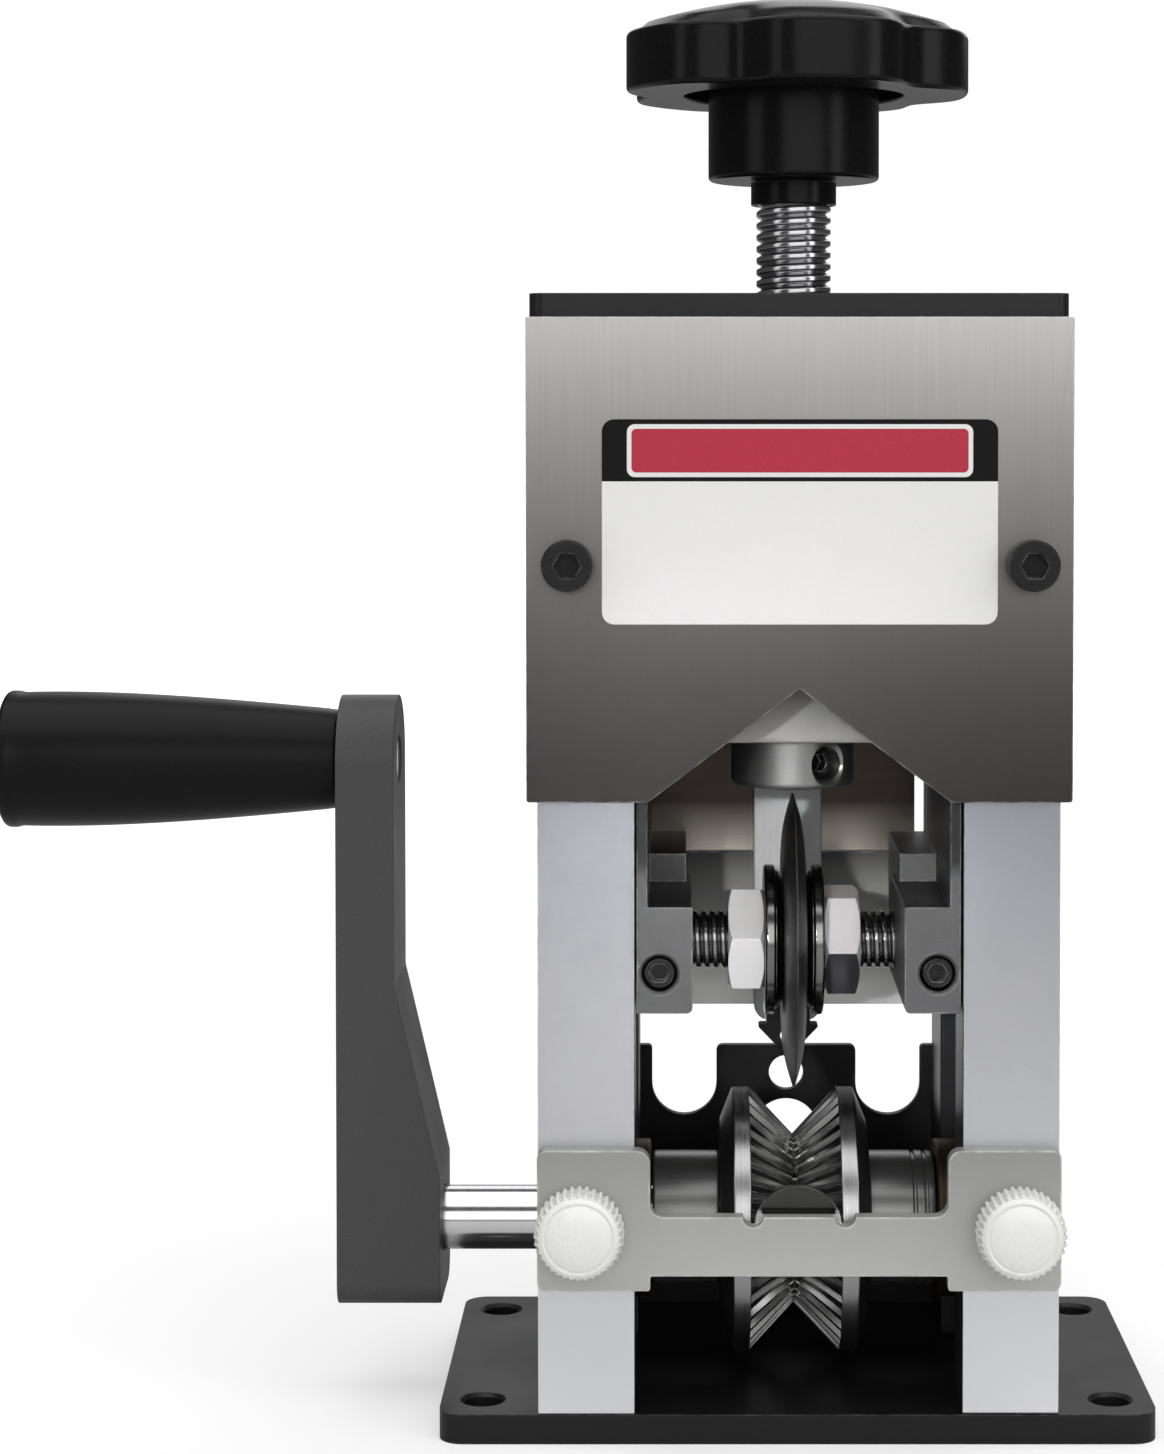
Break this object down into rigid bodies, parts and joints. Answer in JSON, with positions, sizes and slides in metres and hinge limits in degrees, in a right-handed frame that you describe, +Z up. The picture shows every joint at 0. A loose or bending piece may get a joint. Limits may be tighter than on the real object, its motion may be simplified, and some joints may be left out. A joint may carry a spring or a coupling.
{
  "type": "hand crank wire stripper",
  "caption": "Bench wire stripper: a crank turns two toothed feed discs under a round blade, set by a screw with a star knob.",
  "frame": {"origin": "middle of the base plate's underside", "axes": "+Z up along the posts; +X to the right as seen from the side where the cable goes in; +Y to the back"},
  "size_m": [0.1972, 0.079, 0.2427],
  "materials": {
    "black_paint": "fine satin black paint",
    "anodised_aluminium": "satin anodised",
    "brushed_steel": "brushed, grain upright",
    "warm_grey_paint": "satin warm grey",
    "carriage_steel": "dark satin steel",
    "pale_steel": "satin ground steel",
    "polished_steel": "polished",
    "black_oxide": "oiled black oxide",
    "zinc": "bright zinc",
    "bronze": "turned bronze",
    "crank_paint": "dark satin paint",
    "gloss_black_plastic": "gloss black",
    "satin_black_plastic": "satin black",
    "white_plastic": "satin white"
  },
  "bodies": {
    "frame": {"base_plate": "black_paint", "top_plate": "black_paint", "rear_guide_plate": "black_paint", "left_post": "anodised_aluminium", "right_post": "anodised_aluminium", "front_shield": "brushed_steel", "front_guide_bar": "warm_grey_paint", "shield_screw_left": "black_oxide", "shield_screw_right": "black_oxide", "rear_plate_screw_left": "zinc", "rear_plate_screw_right": "zinc", "base_screw_left_front": "black_oxide", "base_screw_left_rear": "black_oxide", "base_screw_right_front": "black_oxide", "base_screw_right_rear": "black_oxide", "top_screw_left_front": "black_oxide", "top_screw_left_rear": "black_oxide", "top_screw_right_front": "black_oxide", "top_screw_right_rear": "black_oxide", "left_bearing": "bronze", "right_bearing": "bronze"},
    "carriage": {"crosshead": "carriage_steel", "left_cheek": "carriage_steel", "right_cheek": "carriage_steel", "rear_web": "pale_steel", "back_plate": "polished_steel", "splitter_bar": "pale_steel", "splitter_wedge": "black_oxide", "blade_axle": "zinc", "axle_nut_left": "zinc", "axle_nut_right": "zinc", "axle_set_screw_left": "black_oxide", "axle_set_screw_right": "black_oxide", "crosshead_screw_left": "black_oxide", "crosshead_screw_right": "black_oxide", "web_screw_left": "zinc", "web_screw_right": "zinc", "back_plate_screw_left": "zinc", "back_plate_screw_right": "zinc"},
    "screw": {"adjusting_screw": "polished_steel", "star_knob": "gloss_black_plastic", "retaining_collar": "pale_steel", "collar_set_screw": "black_oxide"},
    "blade": {"blade": "black_oxide", "blade_flange_left": "black_oxide", "blade_flange_right": "black_oxide", "blade_bush": "bronze"},
    "drive": {"drive_shaft": "polished_steel", "feed_disc_left": "black_oxide", "feed_disc_right": "black_oxide", "left_spacer": "black_oxide", "right_spacer": "black_oxide", "crank_arm": "crank_paint", "crank_set_screw": "black_oxide", "grip_spindle": "polished_steel"},
    "grip": {"grip": "satin_black_plastic"},
    "left_stud": {"guide_stud_left": "zinc"},
    "right_stud": {"guide_stud_right": "zinc"},
    "left_thumb_knob": {"thumb_knob_left": "white_plastic"},
    "right_thumb_knob": {"thumb_knob_right": "white_plastic"}
  },
  "joints": [
    {"name": "crank_turn", "type": "hinge", "parent": "frame", "child": "drive", "pos_m": [0, -0.005, 0.0305], "axis": [1, 0, 0], "continuous": true},
    {"name": "grip_spin", "type": "hinge", "parent": "drive", "child": "grip", "pos_m": [-0.1, -0.005, 0.1112], "axis": [1, 0, 0], "continuous": true},
    {"name": "blade_height", "type": "slide", "parent": "frame", "child": "carriage", "axis": [0, 0, 1], "range_m": [-0.0085, 0.02]},
    {"name": "screw_turn", "type": "hinge", "parent": "carriage", "child": "screw", "pos_m": [0, -0.005, 0.15], "axis": [0, 0, 1], "range_deg": [-1535, 3610]},
    {"name": "blade_spin", "type": "hinge", "parent": "carriage", "child": "blade", "pos_m": [0, -0.005, 0.0795], "axis": [1, 0, 0], "continuous": true},
    {"name": "guide_stud_left_travel", "type": "slide", "parent": "frame", "child": "left_stud", "axis": [0, -1, 0], "range_m": [0, 0.0024]},
    {"name": "thumb_knob_left_turn", "type": "hinge", "parent": "left_stud", "child": "left_thumb_knob", "pos_m": [-0.0362, -0.04, 0.0371], "axis": [0, -1, 0], "range_deg": [-4, 1085]},
    {"name": "guide_stud_right_travel", "type": "slide", "parent": "frame", "child": "right_stud", "axis": [0, -1, 0], "range_m": [0, 0.0024]},
    {"name": "thumb_knob_right_turn", "type": "hinge", "parent": "right_stud", "child": "right_thumb_knob", "pos_m": [0.0362, -0.04, 0.0371], "axis": [0, -1, 0], "range_deg": [-4, 1085]}
  ],
  "couplings": [
    {"joint": "screw_turn", "follows": "blade_height", "rad_per_m": 3141.6},
    {"joint": "thumb_knob_left_turn", "follows": "guide_stud_left_travel", "rad_per_m": 7854},
    {"joint": "thumb_knob_right_turn", "follows": "guide_stud_right_travel", "rad_per_m": 7854}
  ]
}
